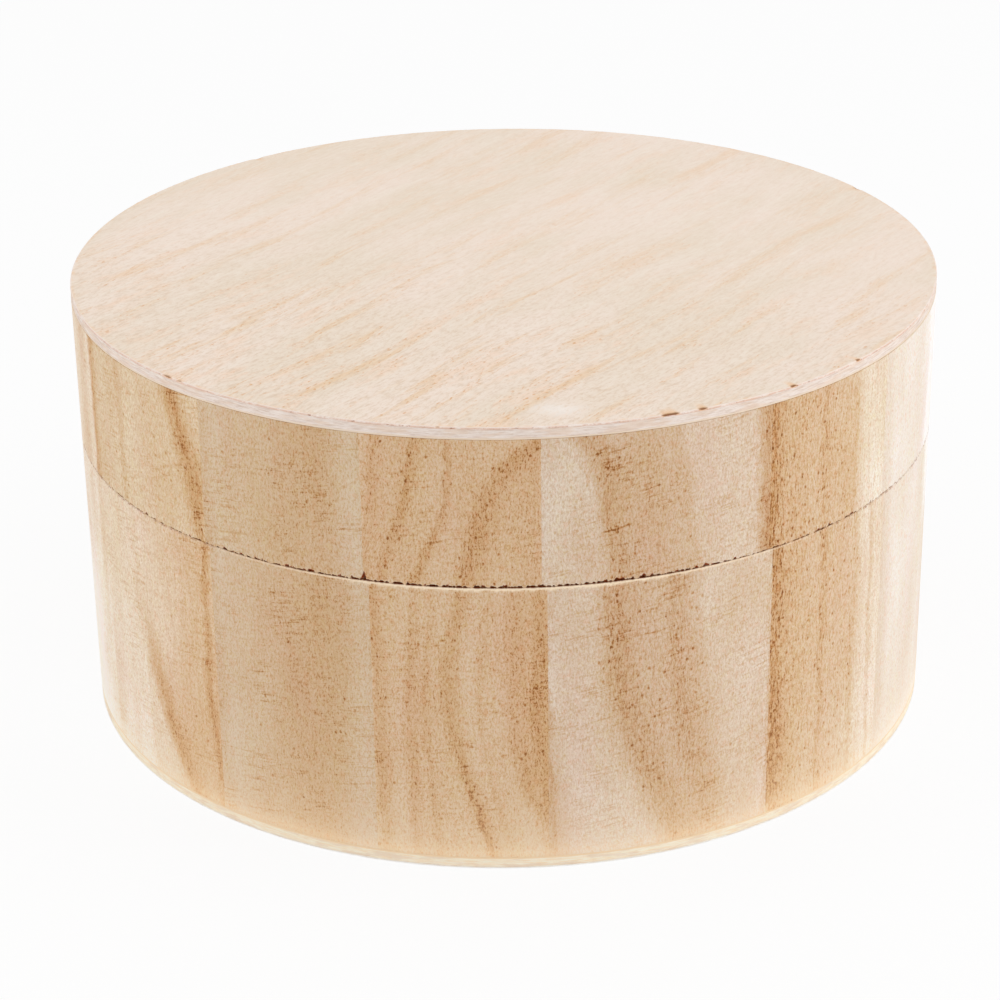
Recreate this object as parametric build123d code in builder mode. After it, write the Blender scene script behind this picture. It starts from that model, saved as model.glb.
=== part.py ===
from build123d import *
import os

# Round cheese box of raw wood, with a lift-off lid.
# Its wall is one ring of upright staves, glued edge to edge and sawn across into a deep base and a shallow
# lid. A three-ply disc closes each of them. A bent strip inside the base stands above the rim and keeps the
# lid in place.
# The origin is the centre of the underside, +Z is up, and the front faces -Y. Lengths are in millimetres.

# Outer size
outer_diameter = 120.0
base_ring_height = 38.9
lid_ring_height = 20.0

# Staves
wall_thickness = 7.0
outer_arris = 0.2
lid_lead_in = 0.4
first_stave_angle = -65.5
stave_width_shares = (
    25.9, 22.7, 21.5, 29.6, 22.1,
    24.0, 21.0, 27.5, 23.0, 25.0, 22.5, 26.0, 20.5, 25.5, 23.2,
)
lid_turn = -0.65

# Plywood discs
face_veneer_thickness = 0.25
core_thickness = 1.2
back_veneer_thickness = 0.25
disc_arris = 0.1

# Liner
liner_thickness = 1.5
liner_glue_line = 0.05
liner_lip_height = 6.0
lid_running_gap = 0.3
lip_relief_height = 1.0
lip_lead_in_height = 1.2
lip_lead_in_width = 0.5
liner_joint_gap = 0.5
liner_joint_slant = 20.0
liner_joint_angle = 150.0

# One overrun for every cut
overrun = 1.0

# Places in a sorted list of faces or corners
lower, upper = 0, -1

# Radii and levels that follow from the sizes above
outer_radius = outer_diameter / 2
bore_radius = outer_radius - wall_thickness
disc_thickness = face_veneer_thickness + core_thickness + back_veneer_thickness
floor_level = disc_thickness
rim_level = floor_level + base_ring_height
ceiling_level = rim_level + lid_ring_height
top_level = ceiling_level + disc_thickness


def plane_at(angle):
    """An upright plane that runs outwards from the box's axis, at degrees to the right of the front."""
    return Plane.XZ.rotated((0, 0, angle - 90))


def save(part, label):
    part.label = label
    export_step(part, f"parts/{label}.step")


def stave_angles():
    """The start and the width of each stave in turn, in shares of the circle, so that the ring closes."""
    start = first_stave_angle
    for share in stave_width_shares:
        width = 360 * share / sum(stave_width_shares)
        yield start, width
        start += width


def make_stave(label, start, width, low, high, rim, lead_in=0):
    """One stave between two levels. Its corners at the rim, which is its upper or lower end, are eased."""
    with BuildPart() as stave:
        with BuildSketch(plane_at(start)) as section:
            with Locations(((bore_radius + outer_radius) / 2, (low + high) / 2)):
                Rectangle(wall_thickness, high - low)
            if lead_in:
                chamfer(section.vertices().group_by(Axis.Y)[rim].sort_by(Axis.X)[0], lead_in)
            chamfer(section.vertices().group_by(Axis.Y)[rim].sort_by(Axis.X)[-1], outer_arris)
        revolve(axis=Axis.Z, revolution_arc=width)
    save(stave.part, label)


def make_disc_ply(label, low, thickness, eased_face=None):
    """One ply of a disc. The outer ply's arris is eased where it shows."""
    with BuildPart() as ply:
        with BuildSketch(Plane.XY.offset(low)):
            Circle(outer_radius)
        extrude(amount=thickness)
        if eased_face is not None:
            chamfer(ply.faces().sort_by(Axis.Z)[eased_face].edges(), disc_arris)
    save(ply.part, label)


def make_liner():
    """The bent strip, glued inside the base. Its ends meet in a slanted butt joint."""
    seat_radius = bore_radius - liner_glue_line
    inner_radius = seat_radius - liner_thickness
    lip_radius = bore_radius - lid_running_gap
    lip_top = rim_level + liner_lip_height
    with BuildPart() as liner:
        with BuildSketch(Plane.XZ):
            with BuildLine():
                Polyline(
                    (inner_radius, floor_level),
                    (seat_radius, floor_level),
                    (seat_radius, rim_level - lip_relief_height),
                    (lip_radius, rim_level),
                    (lip_radius, lip_top - lip_lead_in_height),
                    (lip_radius - lip_lead_in_width, lip_top),
                    (inner_radius, lip_top),
                    close=True,
                )
            make_face()
        revolve(axis=Axis.Z)
        joint_plane = plane_at(liner_joint_angle)
        with BuildSketch(Plane(joint_plane.origin, -joint_plane.z_dir, joint_plane.x_dir)):
            with Locations((0, (floor_level + lip_top) / 2)):
                Rectangle(liner_joint_gap, 2 * lip_top, rotation=liner_joint_slant)
        extrude(amount=bore_radius + overrun, mode=Mode.SUBTRACT)
    save(liner.part, "liner")


os.makedirs("parts", exist_ok=True)

# The disc under the base, from the outside in
make_disc_ply("base_face_veneer", 0, face_veneer_thickness, eased_face=lower)
make_disc_ply("base_core", face_veneer_thickness, core_thickness)
make_disc_ply("base_back_veneer", face_veneer_thickness + core_thickness, back_veneer_thickness)

# The disc on top of the lid, from the inside out
make_disc_ply("lid_back_veneer", ceiling_level, back_veneer_thickness)
make_disc_ply("lid_core", ceiling_level + back_veneer_thickness, core_thickness)
make_disc_ply("lid_face_veneer", top_level - face_veneer_thickness, face_veneer_thickness, eased_face=upper)

# The two rings, stave by stave
for number, (start, width) in enumerate(stave_angles(), 1):
    make_stave(f"base_stave_{number:02d}", start, width, floor_level, rim_level, upper)
    lid_start = start + lid_turn
    make_stave(f"lid_stave_{number:02d}", lid_start, width, rim_level, ceiling_level, lower, lid_lead_in)

make_liner()
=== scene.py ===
"""Round cheese box of raw wood, with upright staves, ply discs above and below, and a lift-off lid.

Lengths in this script are in millimetres and angles in degrees to the right of the front, unless a name or
a comment says otherwise. A finished mesh is in metres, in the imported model's own place.
"""

import math
import random

import bpy
from mathutils import Matrix, Vector


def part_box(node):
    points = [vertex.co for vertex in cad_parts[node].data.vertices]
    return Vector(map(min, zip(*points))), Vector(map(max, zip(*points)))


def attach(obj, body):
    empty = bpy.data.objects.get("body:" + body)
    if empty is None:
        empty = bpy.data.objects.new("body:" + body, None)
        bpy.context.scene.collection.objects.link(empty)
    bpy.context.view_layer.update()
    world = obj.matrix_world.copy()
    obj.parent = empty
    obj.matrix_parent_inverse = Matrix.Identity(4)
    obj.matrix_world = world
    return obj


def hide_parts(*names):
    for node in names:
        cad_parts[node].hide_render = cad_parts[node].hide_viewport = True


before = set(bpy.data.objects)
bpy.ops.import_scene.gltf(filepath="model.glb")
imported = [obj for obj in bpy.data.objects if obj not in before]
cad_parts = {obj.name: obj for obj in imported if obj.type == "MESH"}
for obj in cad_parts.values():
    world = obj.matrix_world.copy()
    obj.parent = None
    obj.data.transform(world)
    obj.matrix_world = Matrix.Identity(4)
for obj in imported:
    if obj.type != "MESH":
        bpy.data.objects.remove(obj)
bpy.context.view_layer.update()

MM = 0.001
DEGREE = math.pi / 180


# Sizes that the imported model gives

def level(node, end):
    """The lowest (0) or highest (1) level of a node."""
    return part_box(node)[end][2] / MM


def corners(name):
    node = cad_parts[name]
    return [node.matrix_world @ vertex.co / MM for vertex in node.data.vertices]


def radii(name):
    reach = [math.hypot(p.x, p.y) for p in corners(name)]
    return min(reach), max(reach)


def stave_span(name):
    """Where a stave starts, and how wide it is."""
    points = corners(name)
    middle = sum(points, Vector((0, 0, 0)))
    centre = math.atan2(middle.x, -middle.y)
    turns = [math.remainder(math.atan2(p.x, -p.y) - centre, math.tau) for p in points]
    return math.degrees(centre + min(turns)), math.degrees(max(turns) - min(turns))


FLOOR = level("base_back_veneer", 1)
RIM = level("base_stave_01", 1)
CEILING = level("lid_back_veneer", 0)
TOP = level("lid_face_veneer", 1)
LIP_TOP = level("liner", 1)
BORE_RADIUS, OUTER_RADIUS = radii("base_stave_01")
LINER_RADIUS, SEAT_RADIUS = radii("liner")
STAVES = range(1, 16)

# How far one degree is round the outside
ARC = OUTER_RADIUS * DEGREE

# The liner: how far it is relieved where it passes the rim, the taper of its lip, and the joint of its ends
LINER_RELIEF, LINER_RELIEF_HEIGHT = 0.25, 1.0
LINER_TAPER, LINER_TAPER_HEIGHT = 0.5, 1.2
LINER_JOINT, LINER_SLANT, LINER_GAP = 150.0, 20.0, 0.5


# Node trees, written as Python expressions

class Flow:
    """What flows out of a socket. Its sums are Math nodes."""

    def __init__(self, tree, socket):
        self.tree, self.socket = tree, socket

    def math(self, operation, *others):
        return self.tree.sum(operation, self, *others)

    def __add__(self, other):
        return self.math("ADD", other)

    def __sub__(self, other):
        return self.math("SUBTRACT", other)

    def __rsub__(self, other):
        return self.tree.sum("SUBTRACT", other, self)

    def __mul__(self, other):
        return self.math("MULTIPLY", other)

    def __truediv__(self, other):
        return self.math("DIVIDE", other)

    def __pow__(self, other):
        return self.math("POWER", other)

    __radd__, __rmul__ = __add__, __mul__

    def output(self, name):
        return Flow(self.tree, self.socket.node.outputs[name])


class Tree:
    """A node tree under construction."""

    def __init__(self, tree):
        self.tree = tree
        tree.nodes.clear()

    def node(self, kind, settings=None, inputs=None, output=0):
        """Adds a node, sets it up, feeds its sockets and returns one of its outputs."""
        made = self.tree.nodes.new(kind)
        for name, value in (settings or {}).items():
            if name == "stops":
                for place, colour in value[1:-1]:
                    made.color_ramp.elements.new(place)
                for element, (place, colour) in zip(made.color_ramp.elements, value):
                    element.position, element.color = place, colour
            elif name == "points":
                curve = made.mapping.curves[0]
                for place in value[1:-1]:
                    curve.points.new(*place)
                curve.points[0].location = value[0]
                curve.points[len(value) - 1].location = value[-1]
                made.mapping.update()
            else:
                setattr(made, name, value)
        for name, value in (inputs or {}).items():
            if isinstance(value, Flow):
                self.tree.links.new(value.socket, made.inputs[name])
            else:
                made.inputs[name].default_value = value
        return Flow(self, made.outputs[output]) if len(made.outputs) else made

    def sum(self, operation, *values):
        return self.node("ShaderNodeMath", {"operation": operation}, dict(enumerate(values)))

    def vector(self, operation, *values, output=0):
        return self.node("ShaderNodeVectorMath", {"operation": operation}, dict(enumerate(values)), output)

    def parts(self, vector):
        first = self.node("ShaderNodeSeparateXYZ", None, {0: vector})
        return first, first.output("Y"), first.output("Z")

    def join(self, x, y, z):
        return self.node("ShaderNodeCombineXYZ", None, {0: x, 1: y, 2: z})

    def step(self, start, end, value):
        """0 before start, 1 after end, and smooth between them. It falls where start is the greater."""
        sockets = {"Value": value, "From Min": start, "From Max": end}
        return self.node("ShaderNodeMapRange", {"interpolation_type": "SMOOTHSTEP"}, sockets)

    def ramp(self, start, end, value):
        """As step, but straight."""
        return self.node("ShaderNodeMapRange", None, {"Value": value, "From Min": start, "From Max": end})

    def noise(self, vector, stretch, detail=2.0, roughness=0.5, distortion=0.0):
        """Noise that is stretched by an amount per millimetre each way."""
        stretched = self.vector("MULTIPLY", vector, stretch)
        sockets = {"Vector": stretched, "Scale": 1.0, "Detail": detail, "Roughness": roughness,
                   "Distortion": distortion}
        return self.node("ShaderNodeTexNoise", None, sockets)

    def cells(self, vector, stretch):
        """The distance to the nearest of some scattered points, with a random number for each."""
        stretched = self.vector("MULTIPLY", vector, stretch)
        near = self.node("ShaderNodeTexVoronoi", None, {"Vector": stretched, "Scale": 1.0})
        return near, self.parts(near.output("Color"))[0]

    def blend(self, share, first, second, mode="MIX"):
        """Two colours mixed."""
        settings = {"data_type": "RGBA", "blend_type": mode}
        return self.node("ShaderNodeMix", settings, {0: share, 6: first, 7: second}, 2)


def tint(red, green, blue):
    """A colour as it is seen, 0 to 255, made linear."""
    shares = (red / 255, green / 255, blue / 255)
    return *(((s + 0.055) / 1.055) ** 2.4 if s > 0.04 else s / 12.92 for s in shares), 1.0


# Finishes

class Finish(Tree):
    """A material under construction. Its spot is the place on the piece, in millimetres."""

    def __init__(self, name):
        self.material = bpy.data.materials.new(name)
        self.material.use_nodes = True
        super().__init__(self.material.node_tree)
        place = self.node("ShaderNodeTexCoord", output="Object")
        self.spot = self.vector("MULTIPLY", place, (1 / MM, 1 / MM, 1 / MM))

    def unrolled(self, centre):
        """How far a spot is turned from an angle about the axis, in radians, and its distance from the axis."""
        angle = math.radians(centre)
        across = self.vector("DOT_PRODUCT", self.spot, (math.cos(angle), math.sin(angle), 0), output=1)
        out = self.vector("DOT_PRODUCT", self.spot, (math.sin(angle), -math.cos(angle), 0), output=1)
        return self.sum("ARCTAN2", across, out), (across * across + out * out) ** 0.5

    def surface(self, colour, roughness, height, depth, strength=1.0):
        """Ends the material. Height is the relief, which depth gives in millimetres."""
        sockets = {"Strength": strength, "Distance": depth * MM, "Height": height}
        relief = self.node("ShaderNodeBump", None, sockets)
        sockets = {"Base Color": colour, "Roughness": roughness, "Normal": relief, "Specular IOR Level": 0.18}
        body = self.node("ShaderNodeBsdfPrincipled", None, sockets)
        self.node("ShaderNodeOutputMaterial", None, {"Surface": body})
        return self.material


WOOD_TONES = [
    (0.0, tint(254, 251, 247)),
    (0.08, tint(243, 231, 216)),
    (0.2, tint(228, 206, 181)),
    (0.36, tint(219, 187, 151)),
    (0.5, tint(212, 173, 132)),
    (0.64, tint(202, 153, 101)),
    (0.78, tint(176, 118, 66)),
    (0.9, tint(132, 78, 34)),
    (1.0, tint(98, 52, 18)),
]


def stave_finish(name, centre, tone, pores, figure, painted_foot_light, warmth=(255, 255, 255), pore_length=0.9, nicks=(),
                 calm=1.0, scratches=1.0):
    """Raw wood, sanded across the grain. Figure lists the bands that run up the stave. A base's stave has
    painted light towards its foot, a warm glow that stands in for light from the floor. Calm and scratches
    scale the fine texture and the marks of the sanding belt. Nicks lists dark strokes, as angle, height, half
    length, slope and tone."""
    wood = Finish(name)
    turned, reach = wood.unrolled(centre)
    up = wood.parts(wood.spot)[2]
    arc = turned * OUTER_RADIUS
    depth = OUTER_RADIUS - reach
    board = wood.join(arc + centre * 7, depth, up)
    sway = wood.noise(board, (0.08, 0.08, 0.11), 3.0) - 0.5
    jitter = wood.noise(board, (0.7, 0.7, 0.3), 3.0, 0.65) - 0.5
    swayed = arc + sway * 2.0
    grain = wood.join(swayed + centre * 7, depth, up)
    fibres = wood.noise(grain, (3.4, 3.4, 0.5), 3.0, 0.65)
    strands = wood.noise(grain, (1.3, 1.3, 0.12), 3.0, 0.6)

    # The figure. A curve node holds angles as shares of the span from half a turn left to half a turn right.
    half_turn = 30.0
    height_share = up / TOP
    place = swayed + jitter * 1.7 + (fibres - 0.5) * 1.8
    place_share = place / ARC / (2 * half_turn) + 0.5
    tones = tone + (wood.noise(grain, (0.16, 0.16, 0.05), 3.0) - 0.5) * (0.25 * calm)
    density = pores
    for row in figure:
        points = [(z / TOP, (place - centre) / (2 * half_turn) + 0.5) for z, place in row["line"]]
        middle = wood.node("ShaderNodeFloatCurve", {"points": sorted(points)}, {"Value": height_share})
        gap = (place_share - middle) * (2 * half_turn)
        shape = wood.step(-row["left"], 0, gap) * wood.step(row["right"], 0, gap)
        if "between" in row:
            low, high, soft = row["between"]
            shape = shape * wood.step(low - soft, low + soft, up) * wood.step(high + soft, high - soft, up)
        streaked = shape * (0.4 + strands * 1.2)
        tones = tones + streaked * row["tone"]
        density = shape * row.get("pores", max(row["tone"], 0) * 0.9) + density

    # Pores, flecks and the marks of the sanding belt
    mottle = wood.noise(grain, (2.6, 2.6, 1.1), 3.0, 0.8)
    flecks = wood.noise(grain, (5.0, 5.0, 2.4), 2.0, 0.75)
    short = wood.noise(grain, (3.4, 3.4, pore_length), 1.0, 0.5)
    dashes = wood.step(0.6, 0.67, short + density * 0.1) * wood.sum("MINIMUM", density * 1.1 + 0.1, 1.0)
    near, pick = wood.cells(grain, (1.35, 1.35, 1.1))
    dots = wood.step(0.35, 0.12, near) * wood.step(0.0, 0.06, density * 0.45 - 0.01 - pick)
    tilt = math.radians(9)
    along = arc * math.cos(tilt) + up * math.sin(tilt)
    over = up * math.cos(tilt) - arc * math.sin(tilt) + sway * 1.2
    sanding = wood.noise(wood.join(along + centre * 7, depth, over), (0.22, 0.2, 2.4), 3.0, 0.75) - 0.5
    sanded = wood.step(0.42, 0.64, wood.noise(board, (0.13, 0.13, 0.16), 2.0)) + 0.15
    scored = wood.sum("MINIMUM", sanding, 0.0) * sanded * (scratches * 1.35)
    fine = (fibres - 0.5) * 0.3 + (flecks - 0.5) * 1.0 + (mottle - 0.5) * 0.65 - scored
    fine = fine * (wood.sum("MINIMUM", tones, 0.42) * 2.8 + 0.42) * calm
    shade = tones - 0.035 + wood.sum("MAXIMUM", fine, fine * 0.3) + dashes * 0.18 + dots * 0.36
    for nick_angle, nick_height, half, slope, depth_of_tone in nicks:
        aside, rise = arc - (nick_angle - centre) * ARC, up - nick_height
        lean = math.radians(slope)
        run = wood.sum("ABSOLUTE", aside * math.cos(lean) + rise * math.sin(lean))
        off = wood.sum("ABSOLUTE", rise * math.cos(lean) - aside * math.sin(lean) + jitter * 0.5)
        shade = shade + wood.step(half, half * 0.5, run) * wood.step(0.24, 0.04, off) * depth_of_tone

    # Darker end grain
    upright = wood.parts(wood.node("ShaderNodeNewGeometry", output="True Normal"))[2]
    end_grain = wood.step(0.8, 0.95, wood.sum("ABSOLUTE", upright))
    shade = wood.sum("MINIMUM", shade + end_grain * 0.16, 0.87)
    colour = wood.node("ShaderNodeValToRGB", {"stops": WOOD_TONES}, {"Fac": shade})
    if warmth != (255, 255, 255):
        colour = wood.blend(1.0, colour, tint(*warmth), "MULTIPLY")

    # Slow drifts of hue, painted light at a base's foot, the pale new wood of the eased arris with its painted
    # highlight, and the brown of the torn one with its painted shade
    hue = wood.noise(board, (1.1, 1.1, 0.8), 3.0, 0.7)
    colour = wood.blend(wood.step(0.5, 0.68, hue) * 0.8, colour, tint(255, 240, 228), "MULTIPLY")
    colour = wood.blend(wood.step(0.5, 0.32, hue) * 0.8, colour, tint(254, 252, 236), "MULTIPLY")
    cast = wood.noise(board, (0.15, 0.15, 0.05), 2.0)
    colour = wood.blend(wood.step(0.5, 0.75, cast) * 0.45, colour, tint(255, 247, 252), "MULTIPLY")
    colour = wood.blend(wood.step(0.5, 0.25, cast) * 0.4, colour, tint(253, 255, 243), "MULTIPLY")
    if painted_foot_light:
        # Painted light: a warm glow at a base's foot that stands in for light from the white floor.
        painted_floor_light = wood.sum("EXPONENT", up / -5.5) * 1.14 + wood.sum("EXPONENT", up / -1.2) * 1.9
        colour = wood.blend(wood.sum("MINIMUM", painted_floor_light, 1.0), colour, tint(222, 174, 136), "SCREEN")
    # Painted highlight on the eased arris, partly the pale new wood.
    fresh = wood.node("ShaderNodeAttribute", {"attribute_name": "fresh"}, output="Fac")
    colour = wood.blend(fresh * (0.6 + strands * 0.7), colour, tint(255, 234, 204))
    # Dark brown where the rim is torn, with painted shade in and along the seam.
    torn = wood.node("ShaderNodeAttribute", {"attribute_name": "torn"}, output="Fac")
    colour = wood.blend(wood.step(0.05, 0.85, torn), colour, tint(138, 56, 6))
    roughness = 0.62 + fibres * 0.16 + dashes * 0.1 + torn * 0.25
    height = fibres * 0.3 + flecks * 0.8 - dashes * 0.5 - dots * 0.5 + sanding * sanded * (scratches * 0.6)
    return wood.surface(colour, roughness, height, 0.1, 0.8)


def face_veneer_finish(name, glue_level, edge=(244, 230, 221), glue_share=0.75, scuff=None):
    """The thin pale veneer, with its grain turned to one side. Scuff gives the place and the half widths of a
    rubbed spot."""
    wood = Finish(name)
    turn = math.radians(55)
    along = wood.vector("DOT_PRODUCT", wood.spot, (math.cos(turn), math.sin(turn), 0), output=1)
    over = wood.vector("DOT_PRODUCT", wood.spot, (-math.sin(turn), math.cos(turn), 0), output=1)
    x, y, up = wood.parts(wood.spot)
    grain = wood.join(along, over, up)
    sway = wood.noise(grain, (0.02, 0.05, 0.05), 2.0) - 0.5
    grain = wood.join(along, over + sway * 7, up)
    lively = wood.step(25.0, -50.0, y + x * 0.35)
    fibres = wood.noise(grain, (0.5, 1.8, 1.8), 3.0, 0.65)
    pith = wood.noise(grain, (1.6, 2.8, 2.8), 2.0, 0.6)
    streaks = wood.noise(grain, (0.03, 0.34, 0.34), 5.0, 0.7)
    clouds = wood.noise(grain, (0.03, 0.07, 0.07), 3.0, 0.6)
    blush = wood.noise(grain, (0.07, 0.22, 0.22), 4.0, 0.7)
    flecks = wood.noise(grain, (1.0, 2.6, 2.6), 2.0, 0.6)
    colour = wood.blend(wood.step(0.35, 0.65, clouds), tint(245, 228, 214), tint(239, 223, 205))
    colour = wood.blend(wood.step(0.5, 0.68, blush) * (0.3 + lively * 0.3), colour, tint(245, 214, 188))
    colour = wood.blend(wood.step(0.52, 0.68, streaks) * (0.3 + lively * 0.4), colour, tint(236, 202, 162))
    colour = wood.blend(wood.step(0.48, 0.34, streaks) * 0.35, colour, tint(246, 234, 220))
    colour = wood.blend(wood.step(0.52, 0.3, fibres) * (0.16 + lively * 0.34), colour, tint(220, 194, 168))
    colour = wood.blend(wood.step(0.5, 0.74, fibres) * 0.3, colour, tint(250, 241, 230))
    colour = wood.blend(wood.step(0.5, 0.32, pith) * (0.12 + lively * 0.3), colour, tint(222, 196, 168))
    rust = wood.step(0.56, 0.68, flecks) * wood.step(0.5, 0.6, streaks + (blush - 0.5) * 0.6)
    colour = wood.blend(rust * (0.2 + lively * 0.6), colour, tint(222, 170, 116))
    if scuff:
        aside, rise = (x - scuff[0]) / scuff[2], (y - scuff[1]) / scuff[3]
        rubbed = wood.step(1.3, 0.1, (aside * aside + rise * rise) ** 0.5 + (fibres - 0.5) * 3.5)
        colour = wood.blend(rubbed * 0.5, colour, tint(253, 248, 243))

    # Its edge, the brown glue at it, and the dark chips in its arris, which are partly painted shade
    from_edge = OUTER_RADIUS - (x * x + y * y) ** 0.5
    edging = wood.step(0.3, 0.1, from_edge)
    lines = wood.noise(wood.spot, (0.35, 0.35, 7.0), 3.0, 0.7)
    colour = wood.blend(edging * (wood.step(0.35, 0.6, lines) * 0.5 + 0.5), colour, tint(*edge))
    broken = wood.noise(wood.spot, (0.4, 0.4, 0.0), 5.0, 0.8)
    rusted = wood.step(0.8, 0.15, from_edge) * wood.step(0.02, 0.2, from_edge) * wood.step(0.46, 0.66, broken)
    colour = wood.blend(rusted * glue_share * 0.7, colour, tint(240, 196, 148))
    sagging = up - glue_level + (broken - 0.5) * 0.25
    glue = wood.step(0.15, 0.02, wood.sum("ABSOLUTE", sagging)) * wood.step(0.38, 0.55, broken)
    glue = glue * wood.step(0.2, 0.1, from_edge)
    colour = wood.blend(glue * glue_share * 0.8, colour, tint(220, 168, 136))
    spots = wood.step(0.56, 0.7, wood.noise(wood.spot, (1.7, 1.7, 1.7), 2.0, 0.6)) * glue
    colour = wood.blend(spots * glue_share, colour, tint(150, 88, 54))
    halo = wood.node("ShaderNodeAttribute", {"attribute_name": "halo"}, output="Fac")
    torn = wood.node("ShaderNodeAttribute", {"attribute_name": "torn"}, output="Fac")
    colour = wood.blend(wood.step(0.0, 0.8, halo) * 0.6, colour, tint(238, 186, 128))
    # The chips' dark brown: partly torn wood, partly painted shade in their hollows.
    colour = wood.blend(wood.step(0.2, 1.0, torn) * 0.9, colour, tint(126, 74, 36))
    height = fibres + flecks * 0.5
    return wood.surface(colour, 0.6 + fibres * 0.15, height, 0.05, 0.6)


def core_finish(name, glue_level, pale, shaded, glue_share=0.6):
    """The core's end grain, with fine streaks that run round it and a brown glue line."""
    wood = Finish(name)
    up = wood.parts(wood.spot)[2]
    streaks = wood.noise(wood.spot, (0.45, 0.45, 5.5), 4.0, 0.75)
    patches = wood.noise(wood.spot, (0.25, 0.25, 1.4), 3.0, 0.6)
    broken = wood.noise(wood.spot, (0.3, 0.3, 0.0), 4.0, 0.75)
    colour = wood.blend(wood.step(0.34, 0.6, streaks), tint(*shaded), tint(*pale))
    colour = wood.blend(wood.step(0.48, 0.62, patches) * 0.45, colour, tint(236, 208, 184))
    glue = wood.step(0.14, 0.02, wood.sum("ABSOLUTE", up - glue_level)) * wood.step(0.38, 0.55, broken)
    colour = wood.blend(glue * glue_share, colour, tint(210, 150, 118))
    return wood.surface(colour, 0.7 + streaks * 0.1, streaks, 0.1, 0.8)


def back_veneer_finish(name, edge):
    """The ply that faces the inside of the box, with the colour of its edge."""
    wood = Finish(name)
    grain = wood.spot
    fibres = wood.noise(grain, (0.12, 2.4, 2.4), 4.0, 0.65)
    streaks = wood.noise(grain, (0.02, 0.35, 0.35), 3.0, 0.6)
    near, pick = wood.cells(grain, (0.3, 1.5, 1.5))
    dashes = wood.step(0.3, 0.08, near) * wood.step(0.35, 0.1, pick)
    colour = wood.blend(wood.step(0.35, 0.7, streaks), tint(240, 225, 205), tint(230, 208, 180))
    colour = wood.blend(wood.step(0.5, 0.3, fibres) * 0.5, colour, tint(222, 200, 172))
    colour = wood.blend(dashes * 0.4, colour, tint(186, 146, 108))
    x, y, _ = wood.parts(wood.spot)
    edging = wood.step(0.3, 0.1, OUTER_RADIUS - (x * x + y * y) ** 0.5)
    lines = wood.noise(wood.spot, (0.35, 0.35, 6.0), 3.0, 0.7)
    colour = wood.blend(edging * (0.4 + lines * 0.7), colour, tint(*edge))
    return wood.surface(colour, 0.62 + fibres * 0.15, fibres - dashes, 0.04, 0.5)


def liner_finish(name):
    """A bent strip, whose grain runs round the box from one end of the strip to the other."""
    wood = Finish(name)
    turned, depth = wood.unrolled(LINER_JOINT - 180)
    up = wood.parts(wood.spot)[2]
    arc = turned * LINER_RADIUS
    sway = wood.noise(wood.join(arc, depth, up), (0.012, 0.05, 0.03), 2.0) - 0.5
    grain = wood.join(arc, depth, up + sway * 12)
    fibres = wood.noise(grain, (0.16, 2.8, 2.8), 4.0, 0.7)
    streaks = wood.noise(grain, (0.016, 0.3, 0.3), 4.0, 0.65)
    flecks = wood.noise(grain, (0.9, 2.6, 2.6), 2.0, 0.6)
    pores = wood.step(0.6, 0.72, flecks) * wood.step(0.4, 0.62, streaks)
    colour = wood.blend(wood.step(0.35, 0.66, streaks), tint(237, 219, 193), tint(222, 194, 156))
    colour = wood.blend(wood.step(0.52, 0.3, fibres) * 0.55, colour, tint(212, 184, 146))
    colour = wood.blend(wood.step(0.55, 0.75, fibres) * 0.4, colour, tint(243, 230, 210))
    colour = wood.blend(pores * 0.55, colour, tint(168, 120, 76))
    worn = wood.node("ShaderNodeAttribute", {"attribute_name": "worn"}, output="Fac")
    colour = wood.blend(worn * 0.5, colour, tint(206, 176, 138))
    return wood.surface(colour, 0.6 + fibres * 0.15, fibres - pores, 0.06, 0.6)


# Shapes

def new_shape(name, inputs):
    """A tree of geometry nodes with named inputs for its sizes."""
    group = bpy.data.node_groups.new(name, "GeometryNodeTree")
    group.interface.new_socket("Geometry", in_out="OUTPUT", socket_type="NodeSocketGeometry")
    for label, kind in inputs:
        group.interface.new_socket(label, in_out="INPUT", socket_type=f"NodeSocket{kind}")
    shape = Tree(group)
    return shape, shape.node("NodeGroupInput")


# Edges that bend by more degrees than this stay sharp in the shading
SHARP_EDGE = 28.0


def end_shape(shape, mesh, material):
    """Rounds the shading between the sharp edges, and ends the tree."""
    bent = shape.node("GeometryNodeInputMeshEdgeAngle")
    sharp = shape.node("FunctionNodeCompare", {"operation": "GREATER_THAN"}, {0: bent, 1: SHARP_EDGE * DEGREE})
    smooth = shape.node("GeometryNodeSetShadeSmooth", {"domain": "FACE"}, {"Geometry": mesh})
    creased = shape.node("GeometryNodeSetShadeSmooth", {"domain": "EDGE"},
                         {"Geometry": smooth, "Selection": sharp, "Shade Smooth": False})
    real = shape.node("GeometryNodeRealizeInstances", None, {"Geometry": creased})
    painted = shape.node("GeometryNodeSetMaterial", None, {"Geometry": real, "Material": material})
    shape.node("NodeGroupOutput", None, {"Geometry": painted})
    return shape.tree


def remember(shape, mesh, **values):
    """Stores values on the points, before the points move."""
    for label, value in values.items():
        mesh = shape.node("GeometryNodeStoreNamedAttribute", {"data_type": "FLOAT", "domain": "POINT"},
                          {"Geometry": mesh, "Name": label, "Value": value})
    return mesh


def around(shape, radius, angle, up):
    """The place, in metres, at a radius, an angle in radians from the front and a height."""
    x, y = radius * shape.sum("SINE", angle) * MM, radius * shape.sum("COSINE", angle) * -MM
    return shape.join(x, y, up * MM)


def tear(shape, inward, down, reach, height):
    """Cuts an arris off, by reach inwards and height downwards. Returns the new distances from the arris, and
    how far in the cut a point was."""
    cut = shape.sum("MAXIMUM", 1 - inward / reach - down / height, 0.0)
    return inward + cut * reach * 0.5, down + cut * height * 0.5, cut


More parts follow.
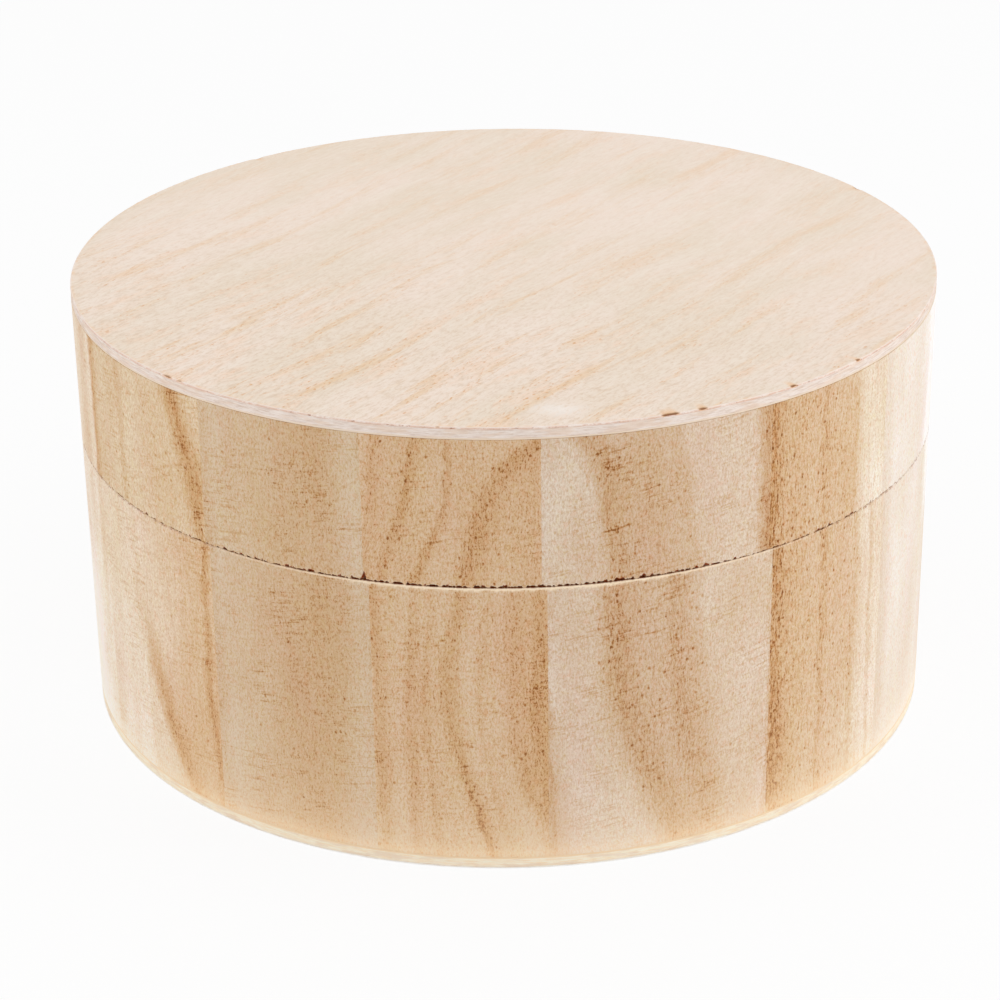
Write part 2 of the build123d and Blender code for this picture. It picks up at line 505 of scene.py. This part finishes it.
def stave_shape():
    """A stave with a sawn rim. The rim's outer arris is torn where the saw came out."""
    shape, sizes = new_shape("stave shape", [
        ("Start", "Float"), ("Width", "Float"), ("Low", "Float"), ("High", "Float"), ("Rim Above", "Float"),
        ("Bore Radius", "Float"), ("Outer Radius", "Float"), ("Lead In", "Float"), ("Tear", "Float"),
        ("Arris", "Float"), ("Fresh", "Float"), ("Seam Shade", "Float"), ("Relief", "Float"),
        ("Notch Angle", "Float"), ("Notch Size", "Float"), ("Columns", "Int"), ("Seed", "Float"),
        ("Finish", "Material"),
    ])
    size = sizes.output
    mesh = shape.node("GeometryNodeMeshCube", None, {
        "Size": (1, 1, 1), "Vertices X": 16, "Vertices Y": size("Columns"), "Vertices Z": 22})
    x, y, z = shape.parts(shape.node("GeometryNodeInputPosition"))
    wall = size("Outer Radius") - size("Bore Radius")
    inward = (1 - shape.sum("COSINE", (0.5 - x) * math.pi)) * 0.5 * wall
    turn = size("Start") + size("Width") * (y + 0.5)
    rim_above = size("Rim Above")
    from_rim = (0.5 - z) * rim_above + (z + 0.5) * (1 - rim_above)
    tall = size("High") - size("Low")
    down = from_rim ** 2.5 * tall
    arc = turn * ARC

    # Where the seam is open, and how far the arris is torn. Both are at their most a little right of the front.
    line = shape.join(arc, 0.0, size("Seed"))
    bridges = shape.noise(shape.join(arc, 0.0, 0.0), (1.2, 0, 0), 3.0, 0.7)
    facing = shape.sum("COSINE", (turn - 1) * DEGREE)
    in_front = shape.step(-0.3, 0.9, facing) * 0.6 + 0.4
    middle = shape.step(0.88, 0.985, facing)
    bright = shape.step(0.62, 0.92, facing) * (middle * 0.35 + 0.65)
    open_seam = shape.step(0.44, 0.5, bridges + middle * 0.05 - 0.005)
    ragged = shape.noise(line, (1.5, 1, 1), 3.0, 0.7)
    clustered = shape.noise(line, (0.25, 1, 1), 2.0)
    teeth = shape.step(0.46, 0.68, ragged) * shape.step(0.34, 0.58, clustered) * in_front * size("Tear")
    gape = shape.step(0.4, 0.56, shape.noise(shape.join(arc, 0.0, 3.0), (0.9, 0, 1), 3.0, 0.75)) * in_front
    relief = open_seam * (gape * 0.8 + 0.2) * (middle * 0.4 + 0.65) * size("Relief")
    off = shape.sum("ABSOLUTE", arc - size("Notch Angle") * ARC)
    notch = shape.sum("MAXIMUM", size("Notch Size") - off * 3.2, 0.0)
    wave = (0.3 + shape.noise(line, (0.6, 1, 1), 3.0, 0.7) * 1.3) * (bright * 0.65 + 0.45)
    height = size("Arris") * wave + teeth + notch
    reach = size("Arris") * wave * 0.35 + teeth * 0.6 + notch * 0.4
    inward_cut, down_cut, cut = tear(shape, inward, down, reach, height)
    down_cut = down_cut + relief * shape.step(1.1, 0.5, inward) * shape.ramp(1.5, 0.0, down)

    # The eased arris at the bore
    outward, down_cut, _ = tear(shape, wall - inward_cut, down_cut, size("Lead In"), size("Lead In"))

    # A hair's breadth lower at the glue lines
    edge = shape.sum("MINIMUM", y + 0.5, 0.5 - y) * size("Width") * ARC
    dip = shape.ramp(0.16, 0.0, edge) * 0.02 * shape.ramp(1.0, 0.0, inward)
    uneven = shape.noise(shape.join(arc, 0.0, down), (0.1, 1, 0.05), 2.0) * 0.03 * shape.ramp(1.0, 0.0, inward)
    radius = size("Bore Radius") + outward - dip - uneven
    rim = size("High") * rim_above + size("Low") * (1 - rim_above)
    place = around(shape, radius, turn * DEGREE, rim - down_cut * (2 * rim_above - 1))
    # Dark brown on the torn teeth and the notch: partly torn fibres, partly painted shade in the seam.
    torn = shape.sum("MINIMUM", cut * 2, 1.0) * shape.step(0.04, 0.2, teeth + notch)
    # Painted shade: the rim dark just inside the seam, where the gap is in shadow, darker where it gapes.
    painted_seam_shade = shape.step(1.1, 0.5, inward) * shape.step(0.05, 0.28, inward) * shape.step(0.05, 0.01, down)
    painted_seam_shade = painted_seam_shade * (gape * 0.7 + 0.3) * size("Seam Shade")
    bared = shape.sum("MINIMUM", cut * 3, 1.0)
    # Painted highlight: the eased arris paler where it faces the front, partly pale new wood and partly light
    # that falls on it.
    fresh = bared * size("Fresh") * bright
    # Painted shade: the bared arris brown away from the front, where the seam line is in shade.
    painted_arris_shade = bared * (1 - bright) * (shape.step(0.42, 0.6, ragged) * 0.4 + 0.15)
    # All that is dark at the rim together: torn fibres and painted shade.
    torn = shape.sum("MAXIMUM", shape.sum("MAXIMUM", torn, painted_seam_shade), painted_arris_shade)
    mesh = remember(shape, mesh, torn=torn, fresh=fresh)
    mesh = shape.node("GeometryNodeSetPosition", None, {"Geometry": mesh, "Position": place})
    return end_shape(shape, mesh, size("Finish"))


def grow(name, tree, sizes):
    """Runs a tree of geometry nodes with its sizes, and keeps the result as a plain mesh."""
    piece = bpy.data.objects.new(name, bpy.data.meshes.new(name))
    bpy.context.scene.collection.objects.link(piece)
    modifier = piece.modifiers.new("shape", "NODES")
    modifier.node_group = tree
    for socket in tree.interface.items_tree:
        if socket.in_out == "INPUT":
            modifier[socket.identifier] = sizes[socket.name]
    scene_now = bpy.context.evaluated_depsgraph_get()
    shaped = piece.evaluated_get(scene_now)
    mesh = bpy.data.meshes.new_from_object(shaped, preserve_all_data_layers=True, depsgraph=scene_now)
    piece.modifiers.clear()
    mesh.name = name
    piece.data = mesh
    return piece


def dress(piece, node, body):
    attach(piece, body)
    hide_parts(node)


def ply_shape(name, chips=()):
    """One ply of a disc, with an eased arris where it shows. Chips lists the angle, half length and depth of
    what is broken out of the arris."""
    shape, sizes = new_shape(name, [
        ("Low", "Float"), ("High", "Float"), ("Radius", "Float"), ("Columns", "Int"), ("Arris", "Float"),
        ("Arris Above", "Float"), ("Seed", "Float"), ("Finish", "Material"),
    ])
    size = sizes.output
    mesh = shape.node("GeometryNodeMeshCylinder", {"fill_type": "TRIANGLE_FAN"}, {
        "Vertices": size("Columns"), "Side Segments": 4, "Fill Segments": 9, "Radius": 1.0, "Depth": 1.0})
    x, y, z = shape.parts(shape.node("GeometryNodeInputPosition"))
    reach = (x * x + y * y) ** 0.5
    angle = shape.sum("ARCTAN2", x, y * -1)
    rim = inward = shape.sum("MAXIMUM", 1 - reach, 0.0) ** 3.0 * size("Radius")
    tall = size("High") - size("Low")
    above = size("Arris Above")
    down = ((0.5 - z) * above + (z + 0.5) * (1 - above)) * tall
    arc = angle * OUTER_RADIUS
    line = shape.join(x * OUTER_RADIUS, y * OUTER_RADIUS, size("Seed"))
    worn = (0.3 + shape.noise(line, (0.8, 0.8, 1), 4.0, 0.7) * 1.4) * size("Arris")
    scoop = 0.0
    for place, half, depth in chips:
        off = (arc - place * ARC) / half
        scoop = shape.sum("MAXIMUM", 1 - off * off, 0.0) * depth + scoop
    scoop = scoop * (0.5 + shape.noise(line, (2.2, 2.2, 1), 2.0))
    inward, down, cut = tear(shape, inward, down, worn + scoop * 1.2, worn + scoop)
    uneven = shape.noise(line, (0.15, 0.15, 1), 3.0) * 0.05 * shape.ramp(0.5, 0.0, inward)
    eased_level = size("High") * above + size("Low") * (1 - above)
    up = eased_level - down * (2 * above - 1)
    place = around(shape, size("Radius") - inward - uneven, angle, up)
    if chips:
        halo = shape.sum("MINIMUM", scoop * 5, 1.0) * shape.ramp(1.6, 0.0, rim)
        # Dark in the chips: partly torn wood and partly painted shade in their hollows.
        mesh = remember(shape, mesh, torn=shape.sum("MINIMUM", scoop * cut * 8, 1.0), halo=halo)
    mesh = shape.node("GeometryNodeSetPosition", None, {"Geometry": mesh, "Position": place})
    return end_shape(shape, mesh, size("Finish"))


def liner_shape():
    """The bent strip. Its ends meet in a slanted joint, and its lip is relieved and tapered for the lid."""
    shape, sizes = new_shape("liner shape", [
        ("Low", "Float"), ("High", "Float"), ("Inner Radius", "Float"), ("Seat Radius", "Float"),
        ("Relief", "Float"), ("Relief Bottom", "Float"), ("Relief Top", "Float"), ("Taper", "Float"),
        ("Taper Height", "Float"), ("Joint Angle", "Float"), ("Joint Slant", "Float"), ("Joint Gap", "Float"),
        ("Arris", "Float"), ("Columns", "Int"), ("Seed", "Float"), ("Finish", "Material"),
    ])
    size = sizes.output
    mesh = shape.node("GeometryNodeMeshCube", None, {
        "Size": (1, 1, 1), "Vertices X": 7, "Vertices Y": size("Columns"), "Vertices Z": 34})
    x, y, z = shape.parts(shape.node("GeometryNodeInputPosition"))
    tall = size("High") - size("Low")
    down = (0.5 - z) ** 2.2 * tall
    height = size("High") - down
    relieved = shape.ramp(size("Relief Bottom"), size("Relief Top"), height) * size("Relief")
    tapered = shape.ramp(size("Taper Height"), 0.0, down) * size("Taper")
    outer = size("Seat Radius") - relieved - tapered
    thick = outer - size("Inner Radius")
    outward = (1 - shape.sum("COSINE", (x + 0.5) * math.pi)) * 0.5 * thick
    turn = y * math.tau
    ring = (shape.sum("COSINE", turn) * OUTER_RADIUS, shape.sum("SINE", turn) * OUTER_RADIUS)
    line = shape.join(*ring, size("Seed"))
    worn = (0.4 + shape.noise(line, (0.35, 0.35, 1), 3.0) * 1.2) * size("Arris")
    outward_cut, down_cut, inner_cut = tear(shape, outward, down, worn, worn)
    inward, down_cut, outer_cut = tear(shape, thick - outward_cut, down_cut, worn * 0.6, worn * 0.6)
    uneven = shape.noise(shape.join(turn * 8, 0.0, down), (0.6, 1, 0.06), 2.0) * 0.04
    uneven = uneven * shape.ramp(0.4, 0.0, inward)
    radius = outer - inward - uneven
    middle = (size("High") + size("Low")) * 0.5
    lean = size("Joint Slant") * DEGREE
    slant = shape.sum("TANGENT", lean) * (height - middle)
    half_gap = size("Joint Gap") * 0.5 / shape.sum("COSINE", lean) / radius
    start = size("Joint Angle") * DEGREE - shape.sum("ARCTAN2", slant, radius) + half_gap
    angle = start + (y + 0.5) * (math.tau - half_gap * 2)
    place = around(shape, radius, angle, size("High") - down_cut)
    edge = shape.sum("MINIMUM", shape.sum("MAXIMUM", inner_cut, outer_cut) * 2, 1.0)
    mesh = remember(shape, mesh, worn=edge)
    mesh = shape.node("GeometryNodeSetPosition", None, {"Geometry": mesh, "Position": place})
    return end_shape(shape, mesh, size("Finish"))


# Figure of the staves

def band(tone, left, right, *line, **more):
    """A band that runs up through (height, angle) points, and fades out over so many degrees to its left and
    right. Between gives its lower end, its upper end and how softly it ends there."""
    return {"tone": tone, "left": left, "right": right, "line": line, **more}


# For each stave that shows from the front or the right: its tone, its share of pores, its bands, and what else
# its finish takes
FRONT_STAVES = {
    "base": {
        15: (0.08, 0.04, [
            band(0.03, 9, 3, (40, -70), (2, -72)),
            band(0.12, 2, 3.0, (40, -66.8), (20, -67.2), between=(24, 60, 8)),
            band(-0.3, 3.5, 14, (40, -82), (2, -79), between=(-9, 22, 9)),
        ], {"warmth": (255, 249, 243), "scratches": 0.4}),
        1: (0.11, 0.06, [
            band(0.06, 8, 9, (40, -61.5), (2, -61.5), between=(28, 60, 7)),
            band(0.08, 2.6, 2.0, (40, -55.5), (20, -55.2), between=(23, 60, 8)),
            band(0.06, 0.8, 40, (40, -53.8), (20, -53.8), (2, -53.6), pores=0.06),
            band(0.155, 9, 40, (40, -42.5), (2, -42.5), pores=0.08),
            band(0.15, 0.9, 6.0, (30, -54.2), (24, -53.8), (17, -52.8), (10, -50), (4, -46.8), (1, -45.2),
                 between=(-9, 22, 6)),
            band(0.15, 1.2, 2.8, (30, -54.2), (24, -53.2), (17, -51.6), (10, -48.8), (4, -46), (1, -44.4),
                 between=(-9, 20, 6)),
            band(0.2, 1.3, 0.9, (40, -40.4), (32, -41.0), (12, -40.4), (2, -39.7)),
        ], {"warmth": (255, 250, 244)}),
        2: (0.34, 0.14, [
            band(0.12, 12, 5, (40, -22.5), (20, -23), (2, -24.5), pores=0.1),
            band(-0.03, 3, 3, (40, -17.8), (2, -17.8)),
            band(-0.04, 1.5, 3, (40, -38), (2, -37)),
        ], {"warmth": (249, 252, 255), "calm": 0.85}),
        3: (0.34, 0.18, [
            band(0.13, 0.8, 2.4, (40, -16.9), (2, -16)),
            band(0.11, 1.0, 1.8, (40, -11.4), (22, -12.3), (2, -11.8), pores=0.15),
            band(0.13, 1.4, 2.6, (40, -6), (27, -7.5), (15, -6), (6, -3.5), (1, -2), pores=0.25),
            band(0.16, 0.5, 1.0, (27, -7.5), (15, -6), (6, -3.5), (1, -2), between=(-9, 15, 6)),
            band(0.17, 1.2, 6.0, (40, 3.4), (30, 3.2), (24, 2.8), (19, 3.2), (14, 3.9), (9, 5.2), pores=0.12),
            band(0.09, 2.0, 4.5, (20, 1.0), (11, 2.8), (7, 4.8), (2, 6), between=(-9, 18, 6)),
            band(0.09, 1.4, 2.8, (40, 0.3), (24, 0.3), (16, 1.0), (11, 2.5), (7, 4.8), (2, 7), pores=0.15),
            band(0.08, 0.8, 1.1, (40, -9.4), (20, -10.2), (2, -8.6), pores=0.1),
            band(0.06, 0.8, 1.1, (40, -2.5), (20, -3.4), (2, 0.4), pores=0.1),
        ], {"scratches": 0.7}),
        4: (0.2, 0.1, [
            band(0.18, 2.0, 0.9, (40, 3.2), (25, 4.2), (12, 4.7), (2, 5.1)),
            band(0.11, 3.0, 17, (40, 12), (30, 12.5), (20, 14), (12, 16.5), (2, 20), pores=0.45),
            band(0.05, 10, 1.8, (40, 23.0), (20, 24.2), (2, 27), between=(9, 60, 6), pores=0.2),
            band(0.09, 1.5, 2.4, (40, 5.0), (12, 5.4), (2, 6.0), between=(-9, 21, 6)),
            band(0.09, 2.2, 3.8, (40, 12.5), (30, 13), (20, 15), (12, 17.5), (2, 21), pores=0.2),
            band(0.06, 1.6, 2.8, (40, 20), (20, 21.5), (2, 25), between=(11, 60, 8), pores=0.3),
            band(0.12, 0.6, 0.4, (40, 34.1), (2, 34.1)),
        ], {"warmth": (246, 243, 243)}),
        5: (0.32, 0.6, [
            band(0.1, 0.6, 8, (40, 34.4), (2, 34.4)),
            band(0.13, 0.6, 2.8, (40, 34.4), (2, 34.4), pores=0.4),
            band(0.08, 1.0, 1.3, (40, 43), (2, 43), pores=0.3),
            band(0.07, 1.0, 1.3, (40, 49.5), (2, 49.5), pores=0.3),
            band(0.1, 0.8, 0.9, (40, 53.2), (20, 53.6), (2, 54.2), pores=0.2),
            band(-0.17, 7, 12, (40, 53.5), (20, 54), (2, 55), pores=-0.5),
            band(-0.06, 5, 4, (40, 49), (2, 49), between=(-9, 16, 8)),
        ], {"pore_length": 0.7, "scratches": 0.25}),
        6: (0.12, 0.03, [
            band(0.06, 2.0, 3.6, (40, 56.4), (2, 56.4)),
            band(-0.16, 9, 3, (40, 80), (2, 80), between=(30, 60, 6)),
        ], {"calm": 0.6, "scratches": 0.2, "warmth": (252, 252, 255)}),
        7: (0.2, 0.08, [
            band(-0.12, 1, 3.5, (40, 80.5), (2, 80.5)),
            band(0.08, 0.8, 6, (40, 86), (20, 87.5), (2, 90)),
            band(0.1, 1.0, 5, (40, 94), (20, 95), (2, 97.5)),
        ], {"calm": 0.8, "scratches": 0.4}),
    },
    "lid": {
        15: (0.13, 0.08, [
            band(0.08, 6, 3, (60, -71), (41, -71)),
            band(0.3, 1.3, 3.0, (60, -66.7), (41, -66.4)),
        ], {"warmth": (255, 249, 243), "scratches": 0.4}),
        1: (0.22, 0.3, [
            band(0.14, 0.2, 1.6, (60, -66.2), (41, -66.2)),
            band(0.08, 0.8, 1.4, (60, -57.5), (41, -57.3)),
            band(0.2, 2.0, 4.5, (60.5, -46.2), (54, -44.2), (48, -43.0), (41, -42.6), between=(45, 75, 6)),
            band(0.16, 1.0, 1.8, (60.5, -45.2), (54, -43.2), (48, -42.1), (41, -41.6)),
            band(0.16, 1.0, 0.6, (60, -41), (41, -40.6), between=(30, 52, 3)),
        ], {"warmth": (253, 250, 240)}),
        2: (0.34, 0.14, [
            band(0.1, 12, 5, (60, -24), (41, -23), pores=0.1),
            band(-0.03, 2.5, 2.5, (60, -18.6), (41, -18.6)),
            band(-0.05, 1.5, 3, (60, -38), (41, -38)),
        ], {"warmth": (249, 252, 254), "nicks": [(-35.5, 43.5, 3.0, 8, 0.16)], "calm": 0.85}),
        3: (0.37, 0.2, [
            band(0.1, 0.8, 2.0, (60, -16), (52, -17), (41, -17.5)),
            band(0.13, 0.9, 1.5, (60, -11.2), (52, -12.6), (46, -14.2), (41, -15.4), pores=0.25),
            band(0.13, 0.8, 1.4, (60, -7.2), (52, -7.4), (48, -8.8), (41, -11.2), pores=0.25),
            band(0.14, 1.8, 3.4, (60, 3), (56, -1), (49, -3.5), (41.5, -5.5), pores=0.3),
            band(0.05, 5.0, 0.5, (60, 3.6), (41, 3.6)),
        ], {"scratches": 0.65}),
        4: (0.2, 0.1, [
            band(0.09, 2.8, 13, (60, 9), (56, 11), (49, 12.5), (41, 13), pores=0.3),
            band(0.09, 11, 1.5, (60, 20.4), (49, 21.8), (41, 22.8), pores=0.2),
            band(0.11, 2.0, 3.6, (60, 9), (56, 11), (49, 12.5), (41, 13), pores=0.25),
            band(0.3, 2.4, 4.0, (60, 33.3), (41, 33.5), pores=0.3),
        ], {"warmth": (246, 243, 243), "nicks": [(13.0, 47.9, 2.4, 12, 0.34)]}),
        5: (0.32, 0.6, [
            band(0.12, 0.6, 10, (60, 33.5), (41, 33.5)),
            band(0.14, 0.6, 2.8, (60, 33.5), (41, 33.5), pores=0.4),
            band(0.07, 0.9, 1.2, (60, 42.5), (41, 42.7), pores=0.3),
            band(0.06, 0.9, 0.5, (60, 48.8), (41, 48.8), pores=0.2),
            band(-0.17, 4.6, 30, (60, 52.0), (41, 51.6), pores=-0.5),
        ], {"pore_length": 0.7, "scratches": 0.25}),
        6: (0.1, 0.03, [
            band(0.07, 2.0, 3.6, (60, 55.8), (41, 55.8)),
            band(-0.3, 10, 8, (60, 80.5), (41, 80.5)),
        ], {"calm": 0.6, "scratches": 0.2, "warmth": (252, 252, 255)}),
        7: (0.2, 0.08, [
            band(-0.25, 1, 3.0, (60, 80), (41, 80)),
            band(0.08, 0.8, 6, (60, 84.5), (41, 86)),
            band(0.1, 1.0, 5, (60, 93), (41, 93.8)),
        ], {"calm": 0.8, "scratches": 0.4}),
    },
}


BACK_TONES = {8: 0.3, 9: 0.14, 10: 0.36, 11: 0.24, 12: 0.08, 13: 0.34, 14: 0.18}


def back_stave(number, start, width):
    """A figure of the same kind for a stave that the front doesn't show. The growth lines of one stave lean
    and bow alike."""
    pick = random.Random(100 + number)
    lean, bow = pick.uniform(-5, 5), pick.uniform(-3, 3)
    side = pick.choice((-1, 1))
    bands = []
    place = start + pick.uniform(0, 7)
    while place < start + width:
        own, bent = lean * pick.uniform(0.7, 1.3), bow * pick.uniform(0.6, 1.4)
        sharp, fade = pick.uniform(0.6, 1.6), pick.uniform(2, 12)
        line = ((60, place + own), (45, place + own * 0.55 + bent * 0.6), (28, place + bent),
                (12, place - own * 0.5 + bent * 0.5), (2, place - own))
        bands.append(band(pick.uniform(0.06, 0.2), *((sharp, fade) if side > 0 else (fade, sharp)), *line))
        place += pick.uniform(4, 13)
    return BACK_TONES[number], pick.uniform(0.08, 0.5), bands, {}


# The pieces

# What the saw left at the two rims, with the painted shade in the seam and the painted highlight on the arris
SAWN_RIMS = {
    "base": {"Lead In": 0.1, "Tear": 0.08, "Arris": 0.32, "Fresh": 1.0, "Seam Shade": 0.8, "Relief": 0.05},
    "lid": {"Lead In": 0.4, "Tear": 0.4, "Arris": 0.07, "Fresh": 0.5, "Seam Shade": 1.0, "Relief": 0.29},
}
NOTCHED_STAVES = ("lid_stave_02", "lid_stave_03")
NOTCH_ANGLE, NOTCH_SIZE = -17.5, 1.2
COLUMNS_PER_DEGREE = 7.5

stave_tree = stave_shape()
for body, low, high, rim_above in (("base", FLOOR, RIM, 1.0), ("lid", RIM, CEILING, 0.0)):
    for number in STAVES:
        name = f"{body}_stave_{number:02d}"
        start, width = stave_span(name)
        look = FRONT_STAVES[body].get(number) or back_stave(number, *stave_span(f"base_stave_{number:02d}"))
        tone, pores, figure, more = look
        finish = stave_finish(f"{name} wood", start + width / 2, tone, pores, figure, body == "base", **more)
        piece = grow(f"{name}_wood", stave_tree, {
            "Start": start, "Width": width, "Low": low, "High": high, "Rim Above": rim_above,
            "Bore Radius": BORE_RADIUS, "Outer Radius": OUTER_RADIUS, **SAWN_RIMS[body],
            "Notch Angle": NOTCH_ANGLE, "Notch Size": NOTCH_SIZE if name in NOTCHED_STAVES else 0.0,
            "Columns": round(width * COLUMNS_PER_DEGREE), "Seed": number * 7.3 + rim_above * 3.1,
            "Finish": finish,
        })
        dress(piece, name, body)

# The chips in the arris of the lid's disc, as angle, half length and depth
CHIPS = [
    (19.5, 1.4, 0.26), (23.75, 0.8, 0.18), (36.75, 0.7, 0.18), (48.5, 0.6, 0.16), (-45.5, 1.2, 0.12),
    (-43.25, 0.7, 0.1), (-8.0, 0.4, 0.08), (118.0, 1.1, 0.2), (-141.0, 0.9, 0.2),
]
PLY_ARRIS = {"face_veneer": 0.12, "core": 0.03, "back_veneer": 0.07}
CORE_INSET = 0.03

plain_ply = ply_shape("ply shape")
chipped_ply = ply_shape("chipped ply shape", CHIPS)
for body in ("base", "lid"):
    for ply in ("face_veneer", "core", "back_veneer"):
        name = f"{body}_{ply}"
        low, high = level(name, 0), level(name, 1)
        above = 1.0 if body == "lid" else 0.0
        # The base's plies have paler edges and almost no glue line: painted light that stands in for light from
        # the white floor at the box's foot.
        if name == "lid_face_veneer":
            finish = face_veneer_finish(f"{name} wood", low + 0.08, scuff=(6.4, -54.6, 3.6, 2.0))
        elif name == "base_face_veneer":
            finish = face_veneer_finish(f"{name} wood", high, edge=(255, 254, 248), glue_share=0.1)
        elif name == "lid_core":
            finish = core_finish(f"{name} wood", high, (245, 232, 223), (222, 200, 185))
        # The base core's paler colours are painted light from the floor.
        elif name == "base_core":
            finish = core_finish(f"{name} wood", low, (255, 246, 226), (252, 230, 198), glue_share=0.1)
        else:
            # The base's paler edge colour here is painted light from the floor as well.
            finish = back_veneer_finish(f"{name} wood", (252, 224, 184) if body == "base" else (240, 221, 200))
            above = 1 - above
        piece = grow(f"{name}_ply", chipped_ply if name == "lid_face_veneer" else plain_ply, {
            "Low": low, "High": high, "Radius": OUTER_RADIUS - (CORE_INSET if ply == "core" else 0),
            "Columns": 1900 if name == "lid_face_veneer" else 720,
            "Arris": PLY_ARRIS[ply], "Arris Above": above, "Seed": low, "Finish": finish,
        })
        dress(piece, name, body)

strip = grow("liner_strip", liner_shape(), {
    "Low": FLOOR, "High": LIP_TOP, "Inner Radius": LINER_RADIUS, "Seat Radius": SEAT_RADIUS,
    "Relief": LINER_RELIEF, "Relief Bottom": RIM - LINER_RELIEF_HEIGHT, "Relief Top": RIM,
    "Taper": LINER_TAPER, "Taper Height": LINER_TAPER_HEIGHT,
    "Joint Angle": LINER_JOINT, "Joint Slant": LINER_SLANT, "Joint Gap": LINER_GAP, "Arris": 0.22,
    "Columns": 420, "Seed": 4.0, "Finish": liner_finish("liner wood"),
})
dress(strip, "liner", "base")


# Floor, light and camera

ROOM_LIGHT = 0.5


def seen_by_camera(tree):
    """1 where the camera sees a thing, also in a reflection or through something clear."""
    ray = tree.node("ShaderNodeLightPath")
    seen = tree.sum("MAXIMUM", ray.output("Is Camera Ray"), ray.output("Is Glossy Ray"))
    return tree.sum("MAXIMUM", seen, ray.output("Is Transmission Ray"))


def set_floor():
    """A floor that looks almost white, and still takes the object's shadow."""
    mesh = bpy.data.meshes.new("floor")
    mesh.from_pydata([(-3, -3, 0), (3, -3, 0), (3, 3, 0), (-3, 3, 0)], [], [(0, 1, 2, 3)])
    floor = bpy.data.objects.new("floor", mesh)
    bpy.context.scene.collection.objects.link(floor)
    material = bpy.data.materials.new("white floor")
    material.use_nodes = True
    paper = Tree(material.node_tree)
    matt = paper.node("ShaderNodeBsdfDiffuse", None, {"Color": (0.9, 0.9, 0.9, 1)})
    white = paper.node("ShaderNodeEmission", None, {"Color": (1, 1, 1, 1), "Strength": 1.0})
    mixed = paper.node("ShaderNodeMixShader", None, {0: seen_by_camera(paper) * 0.9, 1: matt, 2: white})
    paper.node("ShaderNodeOutputMaterial", None, {"Surface": mixed})
    mesh.materials.append(material)


def set_world():
    """A room that looks white but lights the box more softly."""
    world = bpy.data.worlds.new("white room")
    world.use_nodes = True
    bpy.context.scene.world = world
    room = Tree(world.node_tree)
    strength = seen_by_camera(room) * (1 - ROOM_LIGHT) + ROOM_LIGHT
    light = room.node("ShaderNodeBackground", None, {"Color": (1, 1, 1, 1), "Strength": strength})
    room.node("ShaderNodeOutputWorld", None, {"Surface": light})


def hang_softbox(name, place, size, power):
    """A square lamp that looks at the middle of the box. Place and size are in metres, power in watts."""
    lamp = bpy.data.lights.new(name, "AREA")
    lamp.shape, lamp.size, lamp.energy = "SQUARE", size, power
    box = bpy.data.objects.new(name, lamp)
    box.location = place
    box.rotation_euler = (Vector((0, 0, TOP / 2 * MM)) - Vector(place)).to_track_quat("-Z", "Y").to_euler()
    bpy.context.scene.collection.objects.link(box)


def set_camera():
    """The viewpoint of the photograph: about 25 degrees above the horizon, a long lens and a slight roll."""
    elevation, roll = math.radians(24.737), math.radians(-0.792)
    distance, aside, above = 7.093 * OUTER_RADIUS, 0.0204 * OUTER_RADIUS, -0.3787 * OUTER_RADIUS
    ahead = Vector((0, math.cos(elevation), -math.sin(elevation)))
    side, rise = Vector((1, 0, 0)), Vector((0, math.sin(elevation), math.cos(elevation)))
    right = math.cos(roll) * side + math.sin(roll) * rise
    up = math.cos(roll) * rise - math.sin(roll) * side
    place = (-distance * ahead - aside * right - above * up) * MM
    camera = bpy.data.objects.new("camera", bpy.data.cameras.new("camera"))
    camera.data.lens, camera.data.sensor_width = 102.98, 36
    axes = Matrix((right, up, -ahead)).transposed().to_4x4()
    camera.matrix_world = Matrix.Translation(place) @ axes
    bpy.context.scene.collection.objects.link(camera)
    bpy.context.scene.camera = camera


set_floor()
set_world()
hang_softbox("overhead softbox", (0.0, 0.1, 0.9), 0.8, 2.1)
hang_softbox("right softbox", (0.8, -0.1, 0.35), 0.5, 2.6)
hang_softbox("left softbox", (-0.8, -0.1, 0.35), 0.5, 1.8)
hang_softbox("front softbox", (0.1, -1.0, 0.2), 0.6, 1.9)
set_camera()
bpy.context.scene.view_settings.view_transform = "Standard"
